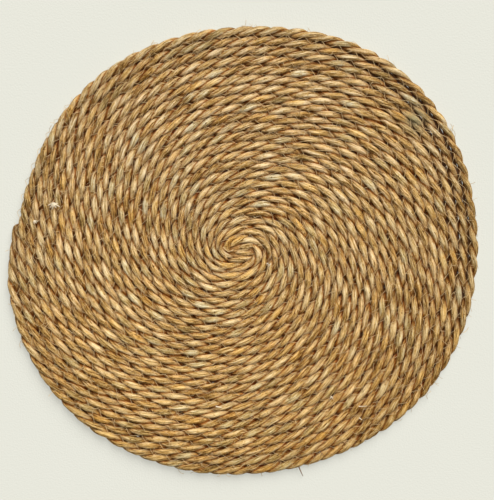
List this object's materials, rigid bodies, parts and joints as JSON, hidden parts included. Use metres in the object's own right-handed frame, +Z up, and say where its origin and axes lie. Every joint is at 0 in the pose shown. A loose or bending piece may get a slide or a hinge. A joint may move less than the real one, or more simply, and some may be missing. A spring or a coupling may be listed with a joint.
{
  "type": "round coiled rope placemat",
  "caption": "Round placemat of two-ply plant-fibre rope, coiled flat from the middle and sewn turn to turn, with an uneven scalloped rim.",
  "frame": {"origin": "on the resting surface, under the middle of the mat's outline", "axes": "+Z up out of the mat, +Y to the picture's top, +X to its right; the rope ends at the rim towards -X"},
  "size_m": [0.3844, 0.3698, 0.0078],
  "materials": {
    "plant_rope": "dry twisted plant fibre, golden tan with browner and greenish lays"
  },
  "bodies": {
    "root": {"mat": "plant_rope"}
  },
  "joints": []
}
